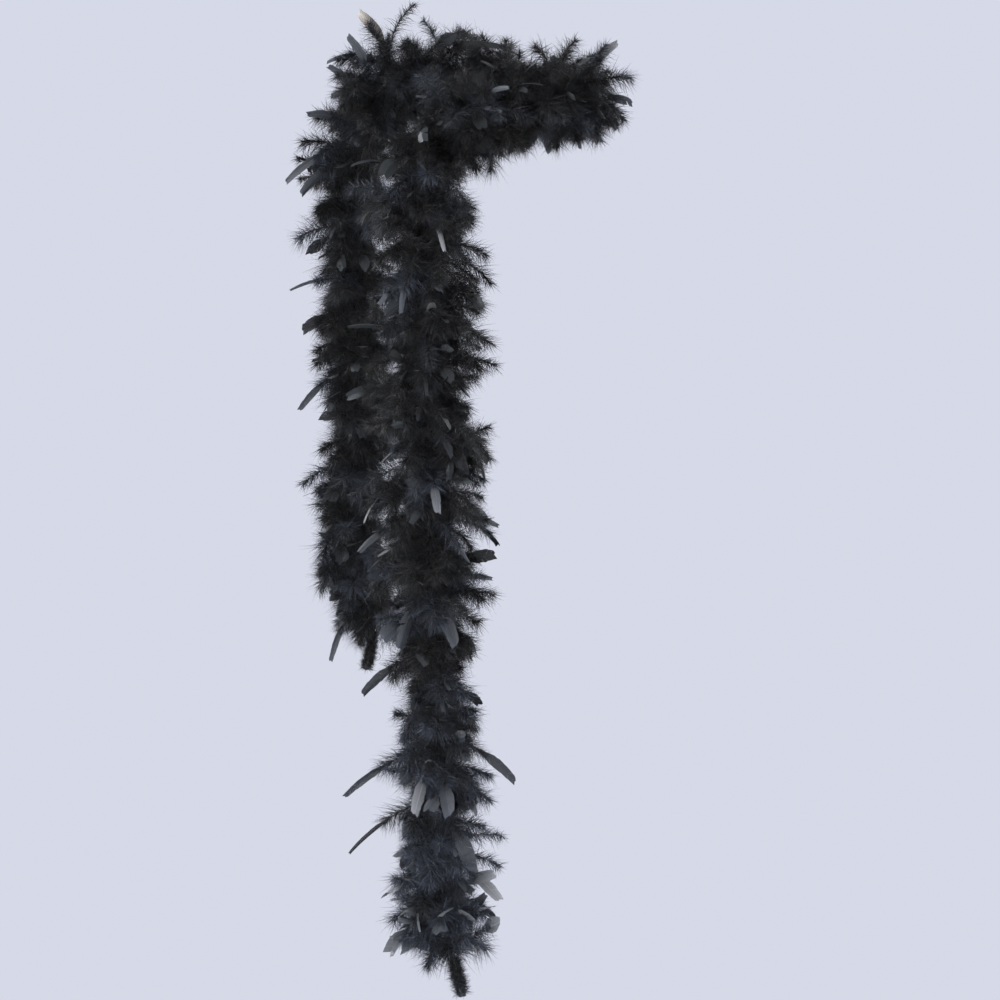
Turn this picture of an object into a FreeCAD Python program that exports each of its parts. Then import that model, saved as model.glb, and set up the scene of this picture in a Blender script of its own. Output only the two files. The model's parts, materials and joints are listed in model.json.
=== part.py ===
"""A feather boa draped round a neck: a two-ply cord, binding thread, down and single feathers.

Units are millimetres. +Z is up, +X is the onlooker's right and -Y faces the onlooker. The origin
is the middle of the neck opening. The cord is cut at nine hinges, so that both hanging tails can
bend, and every length of it between two hinges carries its own plies, thread, down and feathers.
"""
import FreeCAD
import Part
import math
import os
import random

V = FreeCAD.Vector

# The middle line of the cord, from the end of the rear tail to the end of the front tail.
CORD_PATH = [
    V(-143, 92, -662),  # tip of the bare rear end
    V(-135, 92, -618),
    V(-152, 92, -560),
    V(-157, 92, -450),
    V(-152, 92, -330),
    V(-158, 91, -210),
    V(-160, 87, -125),
    V(-148, 72, -45),
    V(-114, 60, 8),  # on the shoulder, beside the neck
    V(-60, 82, 15),
    V(0, 93, 4),  # nape
    V(62, 75, -8),
    V(104, 12, -16),  # on the other shoulder
    V(66, -66, -25),
    V(8, -95, -33),  # throat
    V(-46, -100, -56),
    V(-70, -103, -110),
    V(-71, -106, -180),
    V(-66, -110, -360),
    V(-65, -112, -530),
    V(-63, -112, -640),
    V(-56, -112, -760),
    V(-54, -112, -925),
    V(-40, -112, -968),
    V(-30, -112, -1009),  # tip of the bare front end
]
PATH_SAMPLES = 5000

# Hinges, as distances along the cord from the nearer cord end. The first of each is the bare end's.
REAR_HINGES = [46, 200, 366, 532]
FRONT_HINGES = [44, 236, 430, 624, 818]
HINGE_NAMES_REAR = ["rear_end", "rear_3", "rear_2", "rear_1"]
HINGE_NAMES_FRONT = ["front_end", "front_4", "front_3", "front_2", "front_1"]

# Cord
PLY_RADIUS = 1.65
PLY_OFFSET = 1.8  # from the middle of the cord to the middle of a ply
LAY_LENGTH = 24  # along the cord for one full twist
PLY_SIDES = 6
POINTS_PER_TURN = 6
PLY_END_GAP = 3.0  # from a hinge to the cut end of a ply

# Binding thread, pulled tight enough to bite into the plies
THREAD_RADIUS = 0.35
THREAD_OFFSET = 3.65
THREAD_SIDES = 4
THREAD_PITCH = 20
THREAD_END_GAP = 6.0
WHIPPING_PITCH = 0.9
WHIPPING_START = 15
WHIPPING_END = 23

# Down
DOWN_RADIUS = 20
DOWN_BORE = 4.8
DOWN_END_GAP = 8.0
DOWN_PATH_STEP = 14
TUFT_LENGTH = 50  # the down is a row of tufts, about this long
TUFT_GAP = 1.0

# Feathers
FEATHER_PITCH = 5.0  # along the cord from one feather to the next
FEATHER_TURN = math.radians(137.5)  # round the cord from one feather to the next
FEATHER_END_GAP = 10.0
FEATHER_THICKNESS = 0.5
QUILL_ROOT = 2.6  # the quill's end, clamped between the plies
QUILL_HALF_WIDTH = 0.7
VANE_START = 0.28  # share of the feather's length that is bare quill
LONG_EVERY = 6
LONG_FACTOR = 1.22
# At the ends of a length its feathers lean away from the hinge, so that two lengths can bend by
# 30 degrees and their feathers stay apart. The lean fades to nothing halfway along.
LEAN = math.radians(38)
LEAN_SPREAD = math.radians(7)
ROLL_SPREAD = math.radians(20)
# How far the feathers reach from the cord in each length
REACH = {
    "rear_3": 52,
    "rear_2": 50,
    "rear_1": 54,
    "collar": 58,
    "front_1": 58,
    "front_2": 60,
    "front_3": 54,
    "front_4": 52,
}
SHORTEST_FEATHER = 24

# Half sizes of the space that the neck takes up
NECK_HALF_X = 54
NECK_HALF_Y = 56

# The tan-tipped feather at the collar
TAN_FEATHER_AT = V(-114, 60, 8)
TAN_FEATHER_POINTS = V(-0.42, -0.25, 0.87)
TAN_FEATHER_REACH = 66
TAN_FEATHER_WIDTH = 13

# Cord ends
KNOT_RING = 2.7  # middle radius of each of the knot's two crossing rings
KNOT_STRAND = 2.3
KNOT_AT = 5.5  # from the rear tip to the middle of the knot
KNOT_TILTS = (20, -55)
KNOT_END = 12.0
BAND_RADIUS = 4.4
BAND_BORE = 3.4
BAND_LENGTH = 10
LOOP_RADIUS = 4.5
LOOP_AT = 19


def sample_path():
    """Points, directions and distances along the cord, with a side vector that never twists."""
    curve = Part.BSplineCurve()
    curve.interpolate(CORD_PATH)
    first, last = curve.FirstParameter, curve.LastParameter
    points, directions, distances = [], [], []
    for i in range(PATH_SAMPLES + 1):
        at = first + (last - first) * i / PATH_SAMPLES
        points.append(curve.value(at))
        directions.append(V(*curve.tangent(at)[0]).normalize())
        step = (points[i] - points[i - 1]).Length if i else 0
        distances.append(distances[-1] + step if i else 0)
    side = V(1, 0, 0)
    sides = []
    for direction in directions:
        side = side - direction * side.dot(direction)
        side.normalize()
        sides.append(V(side))
    return points, directions, sides, distances


POINTS, DIRECTIONS, SIDES, DISTANCES = sample_path()
CORD_LENGTH = DISTANCES[-1]


def frame_at(distance):
    """The point on the cord at a distance from its rear tip, with its direction and two sides."""
    low, high = 0, len(DISTANCES) - 1
    while high - low > 1:
        middle = (low + high) // 2
        if DISTANCES[middle] <= distance:
            low = middle
        else:
            high = middle
    share = (distance - DISTANCES[low]) / (DISTANCES[high] - DISTANCES[low])
    point = POINTS[low] + (POINTS[high] - POINTS[low]) * share
    direction = DIRECTIONS[low]
    side = SIDES[low]
    return point, direction, side, direction.cross(side)


def around(distance, radius, angle):
    """The point at a radius and an angle round the cord."""
    point, _, side, other = frame_at(distance)
    return point + side * (radius * math.cos(angle)) + other * (radius * math.sin(angle))


def spread(start, end, step):
    """Evenly spaced numbers from start to end, about a step apart."""
    count = max(2, math.ceil((end - start) / step))
    return [start + (end - start) * i / count for i in range(count + 1)]


def tube_along(points, radius):
    """A round solid along a smooth line through points."""
    curve = Part.BSplineCurve()
    curve.interpolate(points)
    circle = Part.Circle(points[0], curve.tangent(curve.FirstParameter)[0], radius)
    section = Part.Wire([circle.toShape()])
    return Part.Wire([curve.toShape()]).makePipeShell([section], True, False)


def coil(start, end, offset, pitch, radius, phase, corners):
    """A many-sided strand wound round the cord between two distances, built of flat facets."""
    stations = spread(start, end, abs(pitch) / POINTS_PER_TURN)
    line = [around(at, offset, phase + 2 * math.pi * at / pitch) for at in stations]
    points = []
    for i, at in enumerate(stations):
        ahead = (line[min(i + 1, len(line) - 1)] - line[max(i - 1, 0)]).normalize()
        outward = (line[i] - frame_at(at)[0]).normalize()
        over = ahead.cross(outward).normalize()
        outward = over.cross(ahead)
        for k in range(corners):
            turn = 2 * math.pi * k / corners
            points.append(line[i] + outward * (radius * math.cos(turn)) + over * (radius * math.sin(turn)))
    facets = []
    for i in range(len(stations) - 1):
        for k in range(corners):
            a, b = i * corners + k, i * corners + (k + 1) % corners
            facets += [(a, b, b + corners), (a, b + corners, a + corners)]
    last = len(points) - corners
    for k in range(1, corners - 1):
        facets += [(0, k + 1, k), (last, last + k, last + k + 1)]
    skin = Part.Shape()
    skin.makeShapeFromMesh((points, facets), 0.001)
    return Part.Solid(skin)


def ply(start, end, phase):
    return coil(start, end, PLY_OFFSET, LAY_LENGTH, PLY_RADIUS, phase, PLY_SIDES)


def thread(start, end, pitch):
    return coil(start, end, THREAD_OFFSET, pitch, THREAD_RADIUS, 0, THREAD_SIDES)


def tuft(start, end):
    """A soft tube round the cord."""
    outer = [frame_at(at)[0] for at in spread(start, end, DOWN_PATH_STEP)]
    inner = [frame_at(at)[0] for at in spread(start - 2, end + 2, DOWN_PATH_STEP)]
    return tube_along(outer, DOWN_RADIUS).cut(tube_along(inner, DOWN_BORE))


def tufts(start, end):
    """The down of one length: tufts in a row, a small gap apart."""
    edges = spread(start + DOWN_END_GAP, end - DOWN_END_GAP, TUFT_LENGTH)
    return [tuft(low, high - TUFT_GAP) for low, high in zip(edges, edges[1:])]


def in_neck(point):
    return abs(point.x) < NECK_HALF_X and abs(point.y) < NECK_HALF_Y


def feather(base, out, across, reach, width):
    """A flat feather that starts at the cord's middle line and points along out."""
    vane = QUILL_ROOT + (reach - QUILL_ROOT) * VANE_START
    blade = reach - vane
    half = [
        (QUILL_ROOT, QUILL_HALF_WIDTH),
        (vane, QUILL_HALF_WIDTH),
        (vane + blade * 0.25, width * 0.40),
        (vane + blade * 0.65, width * 0.50),
        (vane + blade * 0.93, width * 0.36),
        (reach, width * 0.18),
    ]
    outline = [base + out * u + across * v for u, v in half]
    outline += [base + out * u - across * v for u, v in reversed(half)]
    normal = out.cross(across).normalize()
    face = Part.Face(Part.makePolygon(outline + outline[:1]))
    return face.extrude(normal * FEATHER_THICKNESS)


def feathers(name, start, end, rng):
    """The single feathers along one length of the cord, wound round it like leaves on a stem."""
    made = []
    stations = spread(start + FEATHER_END_GAP, end - FEATHER_END_GAP, FEATHER_PITCH)
    for number, at in enumerate(stations):
        point, direction, side, other = frame_at(at)
        angle = number * FEATHER_TURN + rng.uniform(-0.2, 0.2)
        radial = side * math.cos(angle) + other * math.sin(angle)
        lean = LEAN * (start + end - 2 * at) / (end - start) + rng.uniform(-1, 1) * LEAN_SPREAD
        roll = rng.uniform(-ROLL_SPREAD, ROLL_SPREAD)
        reach = REACH[name] * rng.uniform(0.86, 1.0) / math.cos(lean)
        width = rng.uniform(15, 25)
        if number % LONG_EVERY == 0:
            reach *= LONG_FACTOR
        out = radial * math.cos(lean) + direction * math.sin(lean)
        across = FreeCAD.Rotation(out, math.degrees(roll)).multVec(direction.cross(radial))
        while in_neck(point + out * (reach + 4)) or in_neck(point + out * reach * 0.8):
            reach -= 4
        if reach >= SHORTEST_FEATHER:
            made.append(feather(point, out, across, reach, width))
    return made


def save(name, *solids):
    shape = solids[0] if len(solids) == 1 else Part.makeCompound(solids)
    shape.exportStep(f"parts/{name}.step")


def feathered_length(name, start, end, rng):
    """Every node of one length of cord between two hinges."""
    save(f"{name}_ply_a", ply(start + PLY_END_GAP, end - PLY_END_GAP, 0))
    save(f"{name}_ply_b", ply(start + PLY_END_GAP, end - PLY_END_GAP, math.pi))
    save(f"{name}_thread", thread(start + THREAD_END_GAP, end - THREAD_END_GAP, -THREAD_PITCH))
    save(f"{name}_down", *tufts(start, end))
    save(f"{name}_feathers", *feathers(name, start, end, rng))


def tan_feather():
    """The one feather with a tan tip, standing up from the shoulder."""
    at = min(DISTANCES, key=lambda d: (frame_at(d)[0] - TAN_FEATHER_AT).Length)
    point, direction, _, _ = frame_at(at)
    out = V(TAN_FEATHER_POINTS).normalize()
    across = direction.cross(out).normalize()
    return feather(point, out, across, TAN_FEATHER_REACH, TAN_FEATHER_WIDTH)


def knot():
    """The rear end's knot: two rings of cord that cross each other."""
    point, direction, side, _ = frame_at(KNOT_AT)
    rings = []
    for tilt in KNOT_TILTS:
        axis = FreeCAD.Rotation(side, tilt).multVec(direction)
        rings.append(Part.makeTorus(KNOT_RING, KNOT_STRAND, point, axis))
    return rings[0].fuse(rings[1])


def rear_end(hinge):
    save("rear_end_ply_a", ply(KNOT_END, hinge - PLY_END_GAP, 0))
    save("rear_end_ply_b", ply(KNOT_END, hinge - PLY_END_GAP, math.pi))
    save("rear_end_knot", knot())
    save("rear_end_whipping", thread(WHIPPING_START, WHIPPING_END, WHIPPING_PITCH))
    _, _, _, loop_axis = frame_at(LOOP_AT)
    middle = around(LOOP_AT, THREAD_OFFSET + LOOP_RADIUS, 0)
    save("rear_end_loop", Part.makeTorus(LOOP_RADIUS, THREAD_RADIUS, middle, loop_axis))


def front_end(hinge):
    save("front_end_ply_a", ply(hinge + PLY_END_GAP, CORD_LENGTH, 0))
    save("front_end_ply_b", ply(hinge + PLY_END_GAP, CORD_LENGTH, math.pi))
    tip, direction, _, _ = frame_at(CORD_LENGTH)
    start = tip - direction * BAND_LENGTH
    band = Part.makeCylinder(BAND_RADIUS, BAND_LENGTH, start, direction)
    save("front_end_whipping", band.cut(Part.makeCylinder(BAND_BORE, BAND_LENGTH, start, direction)))


def main():
    os.makedirs("parts", exist_ok=True)
    rng = random.Random(11)
    hinges = REAR_HINGES + [CORD_LENGTH - at for at in reversed(FRONT_HINGES)]
    names = ["rear_3", "rear_2", "rear_1", "collar", "front_1", "front_2", "front_3", "front_4"]
    for name, start, end in zip(names, hinges, hinges[1:]):
        feathered_length(name, start, end, rng)
        print("tufts", name, len(tufts(start, end)))
    save("collar_tan_feather", tan_feather())
    rear_end(hinges[0])
    front_end(hinges[-1])
    print("cord length", round(CORD_LENGTH, 1))
    for name, at in zip(HINGE_NAMES_REAR + HINGE_NAMES_FRONT[::-1], hinges):
        print(name, [round(v, 2) for v in frame_at(at)[0]])
    print("front tip", [round(v, 3) for v in frame_at(CORD_LENGTH)[0]])
    print("front tip direction", [round(v, 5) for v in frame_at(CORD_LENGTH)[1]])


main()
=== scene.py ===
"""Looks of the feather boa: twisted cord, thread, knot, down, plumes and vanes, feather by feather.

Lengths are millimetres until a mesh is made, where MM turns them into metres. The cord's middle
line is the same as the CAD part's. Every hinge has one zone of pieces, which reaches halfway to
the next hinge on both sides, or to the collar's own zones, and which lies between two bodies.
Only the feathers next to a bare end ride on one body: that of the feathered length.
"""
import json
import math

import bpy
import numpy as np
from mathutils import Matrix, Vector

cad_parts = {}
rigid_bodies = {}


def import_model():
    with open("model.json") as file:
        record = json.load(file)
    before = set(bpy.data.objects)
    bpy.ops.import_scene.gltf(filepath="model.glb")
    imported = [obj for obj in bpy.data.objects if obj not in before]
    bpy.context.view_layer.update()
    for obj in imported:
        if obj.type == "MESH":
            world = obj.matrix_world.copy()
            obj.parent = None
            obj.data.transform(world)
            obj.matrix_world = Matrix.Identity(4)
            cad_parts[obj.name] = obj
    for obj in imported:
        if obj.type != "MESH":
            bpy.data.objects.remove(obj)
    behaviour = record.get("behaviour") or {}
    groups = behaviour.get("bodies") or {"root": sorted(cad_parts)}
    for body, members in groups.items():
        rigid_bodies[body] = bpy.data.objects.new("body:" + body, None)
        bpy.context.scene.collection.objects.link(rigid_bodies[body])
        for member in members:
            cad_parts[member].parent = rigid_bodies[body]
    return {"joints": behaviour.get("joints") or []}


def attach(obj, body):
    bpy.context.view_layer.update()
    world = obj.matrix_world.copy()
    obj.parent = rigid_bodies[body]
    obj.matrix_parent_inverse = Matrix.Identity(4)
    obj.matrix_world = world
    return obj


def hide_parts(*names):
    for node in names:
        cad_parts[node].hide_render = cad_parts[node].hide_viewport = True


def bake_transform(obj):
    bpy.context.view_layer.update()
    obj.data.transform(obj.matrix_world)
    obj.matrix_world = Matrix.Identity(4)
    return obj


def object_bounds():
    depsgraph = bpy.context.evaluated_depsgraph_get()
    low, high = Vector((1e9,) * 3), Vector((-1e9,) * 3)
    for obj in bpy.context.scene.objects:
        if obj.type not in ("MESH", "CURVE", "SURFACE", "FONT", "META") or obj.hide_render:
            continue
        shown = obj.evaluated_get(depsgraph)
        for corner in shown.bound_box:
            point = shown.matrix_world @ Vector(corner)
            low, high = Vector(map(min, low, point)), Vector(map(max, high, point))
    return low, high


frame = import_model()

CAD_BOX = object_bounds()
MM = 0.001
CELL_MARGIN = 0.06  # round each patch in its cell of the bake sheet
SEED = 20
SINGLES_SEED = 119

# The cord's middle line from its rear tip to its front tip, and how far the feathers reach there
PATH = np.array([
    (-143, 92, -662, 42),
    (-135, 92, -618, 44),
    (-152, 92, -560, 54),
    (-157, 92, -450, 56),
    (-152, 92, -330, 54),
    (-158, 91, -210, 52),
    (-160, 87, -125, 56),
    (-148, 72, -45, 62),
    (-114, 60, 8, 72),
    (-60, 82, 15, 76),
    (0, 93, 4, 68),
    (62, 75, -8, 61),
    (104, 12, -16, 57),
    (66, -66, -25, 61),
    (8, -95, -33, 68),
    (-46, -100, -56, 70),
    (-70, -103, -110, 70),
    (-71, -106, -180, 72),
    (-66, -110, -360, 76),
    (-65, -112, -530, 72),
    (-63, -112, -640, 50),
    (-56, -112, -760, 56),
    (-54, -112, -925, 66),
    (-40, -112, -968, 50),
    (-30, -112, -1009, 44),
], float)
PATH_SAMPLES = 4000

# Cord and thread
PLY_RADIUS = 1.75
PLY_OFFSET = 1.75
LAY_LENGTH = 24
THREAD_RADIUS = 0.35
THREAD_OFFSET = 3.65
THREAD_PITCH = 16
THREAD_GAP = 4  # from a bare end's hinge to the thread
COIL_POINTS_PER_TURN = 14
COIL_SIDES = 7
# the heart is a near-black tube round the cord: painted shade deep inside the down
HEART_RADIUS = 9
HEART_FADE = 18
HEART_STEP = 4.0
HEART_SIDES = 16
DOWN_GAP = 3  # from a bare end's hinge to the down
BEND_SPAN = 45  # the span handed to a hinged zone's pieces, on both sides of its hinge
BARE_BEND_SPAN = 7

# Collar: it starts this far from the first hinges and is built in equal zones
COLLAR_FROM_HINGE = 62
COLLAR_ZONES = 4

# Cord ends
KNOT_AT = 5.5
KNOT_RING = 2.7
KNOT_STRAND = 2.3
KNOT_TILTS = (20, -55)
KNOT_END = 11
WHIPPING_STRAND = 0.42
REAR_WHIPPING = (15, 23)
REAR_WHIPPING_WIND = (3.75, 0.9)  # from the middle of the cord to the thread, and its pitch
FRONT_WHIPPING_LENGTH = 10
FRONT_WHIPPING_WIND = (4.0, 0.8)
LOOP_AT = 19
LOOP_RADIUS = 4.5
RING_POINTS = 40
RING_SIDES = 9
FRAY_RADIUS = 2.5
FRAY_REAR = 7
FRAY_FRONT = 9
FRAY_FROM_REAR_TIP = 3
FRAY_FROM_FRONT_TIP = 4

# Where feathers leave the cord, and which way
FEATHER_PITCH = 2.2  # where they reach PITCH_REACH; closer together where they reach further
PITCH_REACH = 55
FEATHER_TURN = math.radians(137.5)
TURN_SPREAD = 0.35
CLUMPING = 0.42  # gathers the feathers in rows that wander round the cord, as tufts do
ROOT_RADIUS = 2.5
LEAN_SPREAD = 0.42
LEAN_AT_ENDS = 0.75
LEAN_LIMIT = 1.1
END_FADE = 30  # over this length the feathers at each end lean away from the bare cord
WANDER = 0.6  # how far a feather's fall strays from straight down
TWIST_SPREAD = 0.5

# How far they reach. Pairs of numbers, here and below, are the ends of a range to draw from
REACH_OF_BARBS = 6  # the barbs at the tip reach this much further than the quill
TUFT_SWELL = 0.23
LIFT = 0.2  # how much further feathers that point up reach
LIFT_LOWEST = -0.4  # feathers that point further down than this don't fall any shorter
VANED_REACH = (0.66, 1.04)
DOWNY_REACH = (0.78, 1.0)
STRAY_SHARE = 0.04
STRAY_REACH = 1.16
SHORTEST = 20  # the neck cuts no feather shorter than this

# How a quill bends, in radians from root to tip, and where on it the down ends
VANED_TURN = (0.4, 1.5)
DOWNY_TURN = (0.3, 1.4)
VANED_DOWN_END = (0.64, 0.82)
DOWNY_DOWN_END = (0.92, 1.0)

# How pale they are, from 0 to 1. Names that end in LOW are what the lower end adds: in the tones,
# painted light on that end
TONE_DARKEST = 0.12
TONE_SPREAD = 0.80
TONE_POWER = 2.6  # above 1, most feathers are dark and a few are pale
# how much paler the feathers of a swelling tuft are painted: painted light on the lumps, painted shade
# between them
TONE_TUFT_LIGHT = 0.28
TONE_LIT_LOW = 0.74
TONE_LIMIT = 0.88
TONE_LIMIT_LIT_LOW = 0.09
LIT_PALER_FROM = -520  # below this height the tones are painted paler, as light on the lower end, fully so 350 mm further down
LIT_PALER_OVER = 350

# Down: curling ribbons on both sides of each quill, and short ones all round the cord
BARBS = 410
BARB_QUADS = 2
BARB_TAPER = np.array([1.0, 0.75, 0.06])
BARBS_FROM = 0.10  # the quill is bare up to this share of its down
BARB_CROWDING = 0.7  # below 1, barbs stand closer together towards the tip
BARB_ANGLE = (66, 38, 17)  # degrees from the quill at its root and its tip, and their spread
BARB_DEPTH = 0.8  # how far barbs stand out of the feather's plane
BARB_LENGTH = (16, 25)
BARB_LENGTH_SPREAD = (0.6, 1.15)
BARB_LENGTH_AT_ROOT = 0.48
BARB_WIDTH = (0.36, 0.78)
BARB_CURL = 0.9
BARB_FOLLOW = 0.15  # how much a barb bends along its quill
BARB_SAG = np.array([0, 0, -0.5])
FUZZ_PER_MM = 48
FUZZ_START = 5
FUZZ_LENGTH = 31
FUZZ_END_PER_MM = 60
FUZZ_SLANT = 0.6
FUZZ_LENGTH_SPREAD = (0.6, 1.1)
FUZZ_WIDTH = (0.4, 0.8)
FUZZ_TONE = 0.12
FUZZ_TONE_WAVE = 0.1
FUZZ_TONE_LIT_LOW = 0.55

# Vanes and quills
VANED_SHARE = 0.37
VANED_SHARE_LOW = 0.22  # more of them on the lower end
VANE_STRIPS = 14
VANE_HALF_WIDTH = (3.5, 11)
VANE_WIDER_LOW = 0.35
VANE_START = (0.46, 0.64)
VANE_ROOT_WIDTH = 0.28
VANE_WIDENING = 2.6
VANE_NARROWING = 0.35
VANE_NARROWS_FROM = 0.55
VANE_NARROWS_OVER = 0.45
VANE_CUP = (-0.4, 0.9)  # how far its edges bend out of flat
VANE_ROWS = (0.0, 0.5, 1.0)  # from the quill to the vane's edge
SLANT_SPREAD = 0.7
TIP_ROOM = 2  # how far past the quill's tip the vane is cut off
SHORTEST_BARB = 0.4
BARB_OPENING = math.radians(52)  # between a vane's barbs and its quill
BARB_UNEVEN = 0.03
BARB_SLIP = 0.01
SPLIT_FROM = 2.5  # a barb that slips this many deviations leaves a split in the vane
SPLIT_SLIP = 0.10
QUILL_SIDES = 3
QUILL_RINGS = 8
QUILL_ROOT_RADIUS = 0.52
QUILL_TIP_RADIUS = 0.12

# The oval that the neck fills, which feathers stay out of
NECK_HALF_X = 50
NECK_HALF_Y = 53
NECK_LOW = -70
NECK_FADE = 60
NECK_DEEPEST = 0.55  # a point deeper in the oval than this is pushed no further than from here

# Single feathers that stand out: root, tip, half the vane's width and tone (0 dark, 1 pale). The palest
# tones are partly painted light, for backlit and glinting vanes
PLACED = [
    ((-65, -112, -545), (-98, -140, -628), 9.0, 0.72),
    ((-64, -112, -560), (-37, -155, -624), 8.5, 0.78),
    ((-66, -112, -430), (-56, -176, -480), 6.5, 0.97),
    ((-56, -112, -735), (-81, -160, -806), 8.5, 0.99),
    ((-56, -112, -745), (-44, -158, -808), 10.0, 0.86),
    ((-55, -112, -790), (-19, -150, -868), 11.0, 0.80),
    ((-58, -112, -720), (27, -116, -774), 7.0, 0.74),
    ((-55, -112, -850), (10, -125, -902), 8.0, 1.00),
    ((-70, -104, -130), (-49, -165, -198), 3.6, 1.00),
    ((-66, -110, -370), (-2, -132, -425), 6.5, 0.50),
    ((-57, -112, -735), (-158, -118, -790), 5.0, 0.80),
    ((-55, -112, -790), (-153, -120, -852), 3.0, 0.60),
    ((-150, 75, -60), (-230, 36, -108), 5.5, 0.96),
    ((-152, 78, -75), (-212, 30, -122), 6.5, 0.86),
    ((-155, 91, -250), (-213, 80, -274), 8.5, 0.35),
    ((-153, 92, -310), (-217, 80, -364), 5.0, 0.86),
    ((-158, 91, -215), (-228, 84, -228), 2.4, 0.90),
    ((95, 35, -13), (142, -4, 44), 6.5, 1.00),
    ((104, 12, -16), (158, -14, -24), 6.5, 0.85),
    ((-130, 62, -15), (-160, 20, 54), 6.5, 0.93),
    ((-140, 66, -25), (-182, 34, 22), 5.5, 0.88),
    ((-148, 72, -45), (-206, 36, -32), 6.0, 0.90),
    ((-68, -108, -240), (-112, -160, -266), 8.0, 0.70),
    ((-20, -98, -42), (20, -164, -22), 3.5, 0.94),
    ((-30, -99, -48), (12, -162, -48), 3.0, 0.90),
    ((-150, 92, -575), (-182, 84, -650), 4.5, 0.93),
    ((-62, -112, -628), (-138, -124, -678), 6.5, 0.60),
]
PLACED_TURN = 0.7
PLACED_ROLL = 0.3
PLACED_DOWN_END = 0.58
PLACED_VANE_START = 0.48
PLACED_SLANTS = (-0.7, 0.9)
PLACED_LIFT = np.array([0, -0.5, 0.9])  # the way their quills arch

# The tan feather
TAN_ROOT = (-114, 60, 8)
TAN_OUT = (0.1, -0.3, 0.95)
TAN_FALL = (-1.0, 0, 0)
TAN_TURN = 1.0
TAN_LENGTH = 88.0
TAN_TWIST = 1.1
TAN_TONE = 0.5
TAN_DOWN_END = 0.5
TAN_HALF_WIDTH = 8.5
TAN_VANE_START = 0.46
TAN_SLANT = 0.5

BACKGROUND = (0.672, 0.694, 0.799)
AMBIENT = 0.21
LIGHT_COLOUR = (0.93, 0.965, 1.0)
CAMERA_AT = (0.011, -4.58, -0.467)  # in metres, as the lights and the floor are
CAMERA_LENS = 147.3
FLOOR_HEIGHT = -1.35
FLOOR_HALF = 14
LOOK_AT = Vector((0, 0, -0.45))
LIGHTS = (  # name, place, size in metres, power in watts
    ("key", (-1.5, -2.1, 1.6), 0.8, 62),
    ("fill", (1.9, -1.8, 0.2), 1.6, 28),
    ("low", (-0.7, -2.0, -1.4), 0.8, 112),
    ("rim_left", (-1.8, 1.8, 0.5), 1.2, 45),
    ("rim_right", (1.9, 1.7, 0.6), 1.2, 35),
)

# The looks stay inside the CAD's box, grown by a share of each side and by BOX_EXTRA
BOX_SHARE = 0.03
BOX_EXTRA = 10
MARGIN = 2
SQUEEZE = 15  # depth of the soft wall that feathers press against at the box


# ---------------------------------------------------------------- the cord's middle line
def natural_spline(points, count):
    """A smooth curve through points, with no bend at its ends, as evenly stepped samples."""
    knots = np.concatenate([[0], np.cumsum(np.linalg.norm(np.diff(points, axis=0), axis=1))])
    h = np.diff(knots)
    n = len(points)
    system = np.eye(n)
    right = np.zeros((n, 3))
    for i in range(1, n - 1):
        system[i, i - 1:i + 2] = h[i - 1], 2 * (h[i - 1] + h[i]), h[i]
        right[i] = 6 * ((points[i + 1] - points[i]) / h[i] - (points[i] - points[i - 1]) / h[i - 1])
    m = np.linalg.solve(system, right)
    at = np.linspace(0, knots[-1], count)
    i = np.clip(np.searchsorted(knots, at, "right") - 1, 0, n - 2)
    a, b, hi = knots[i + 1] - at, at - knots[i], h[i]
    a, b, hi = a[:, None], b[:, None], hi[:, None]
    return (
        (m[i] * a**3 + m[i + 1] * b**3) / (6 * hi)
        + (points[i] / hi - m[i] * hi / 6) * a
        + (points[i + 1] / hi - m[i + 1] * hi / 6) * b
    )


def unit(v):
    """Vectors of length 1 in the same directions."""
    return v / np.maximum(np.linalg.norm(v, axis=-1, keepdims=True), 1e-9)


def parallel_sides(directions, side):
    """A side vector for every direction, carried along without twisting."""
    sides = []
    for direction in directions:
        side = side - direction * side.dot(direction)
        side /= np.linalg.norm(side)
        sides.append(side)
    return np.array(sides)


LINE = natural_spline(PATH[:, :3], PATH_SAMPLES)
STATIONS = np.concatenate([[0], np.cumsum(np.linalg.norm(np.diff(LINE, axis=0), axis=1))])
TANGENTS = unit(np.gradient(LINE, axis=0))
SIDES = parallel_sides(TANGENTS, np.array([1.0, 0, 0]))
CORD_LENGTH = STATIONS[-1]
PATH_STATIONS = [STATIONS[np.argmin(np.linalg.norm(LINE - at, axis=1))] for at in PATH[:, :3]]


def along(values, at):
    """Values of the middle line's samples, interpolated at distances along the cord."""
    return np.stack([np.interp(at, STATIONS, values[:, k]) for k in range(3)], axis=-1)


def cord_frame(at):
    """Point, direction and two sides of the cord at distances along it."""
    at = np.atleast_1d(np.asarray(at, float))
    point, direction = along(LINE, at), unit(along(TANGENTS, at))
    side = along(SIDES, at)
    side = unit(side - direction * (side * direction).sum(-1, keepdims=True))
    return point, direction, side, np.cross(direction, side)


def station_of(point):
    """How far along the cord its middle line passes closest to a point."""
    return STATIONS[np.argmin(np.linalg.norm(LINE - np.asarray(point), axis=1))]


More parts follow.
